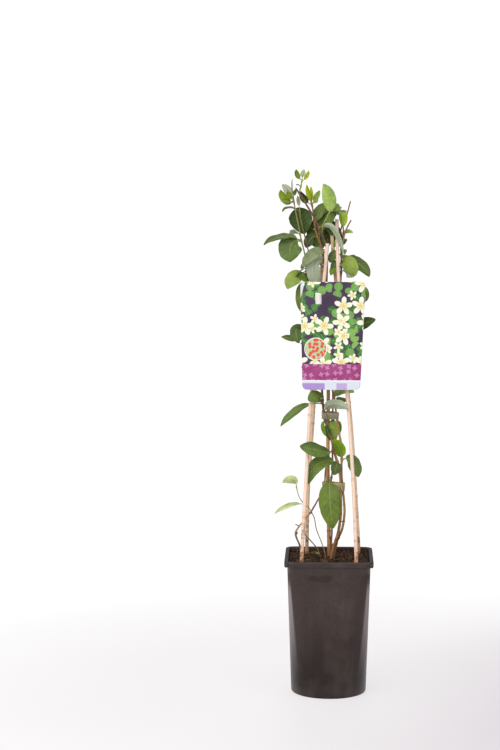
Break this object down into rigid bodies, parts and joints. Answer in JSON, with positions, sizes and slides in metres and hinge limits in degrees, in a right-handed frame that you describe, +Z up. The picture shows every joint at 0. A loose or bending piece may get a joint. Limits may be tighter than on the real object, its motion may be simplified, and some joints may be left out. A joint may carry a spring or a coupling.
{
  "type": "potted honeysuckle vine",
  "caption": "Young climbing honeysuckle in a deep square-topped pot, its leafy stems tied to a wigwam of bamboo canes with a printed plastic tag.",
  "frame": {"origin": "centre of the pot's flat underside", "axes": "+Z up along the pot's centre line, -Y towards the side that the tag faces, +X to the right seen from there"},
  "size_m": [0.1718, 0.137, 0.8122],
  "materials": {
    "pot_plastic": "satin black-brown moulded plastic",
    "soil": "fibrous dark potting soil",
    "bamboo": "pale smooth bamboo",
    "foliage": "soft green leaves with paler undersides",
    "pale_foliage": "pale young leaves",
    "bark": "peeling brown bark",
    "tape": "dull garden tape",
    "label_card": "printed card of thin plastic"
  },
  "bodies": {
    "root": {"pot": "pot_plastic", "soil": "soil", "cane_front_left": "bamboo", "cane_front_right": "bamboo", "cane_back_left": "bamboo", "cane_back_right": "bamboo", "cane_centre": "bamboo", "vine_right": "foliage", "vine_front": "foliage", "vine_middle": "foliage", "vine_left": "foliage", "vine_seedling": "pale_foliage", "vine_bare_twig": "bark", "tie_lower": "tape", "tie_upper": "tape", "tie_top": "tape", "label": "label_card"}
  },
  "joints": []
}
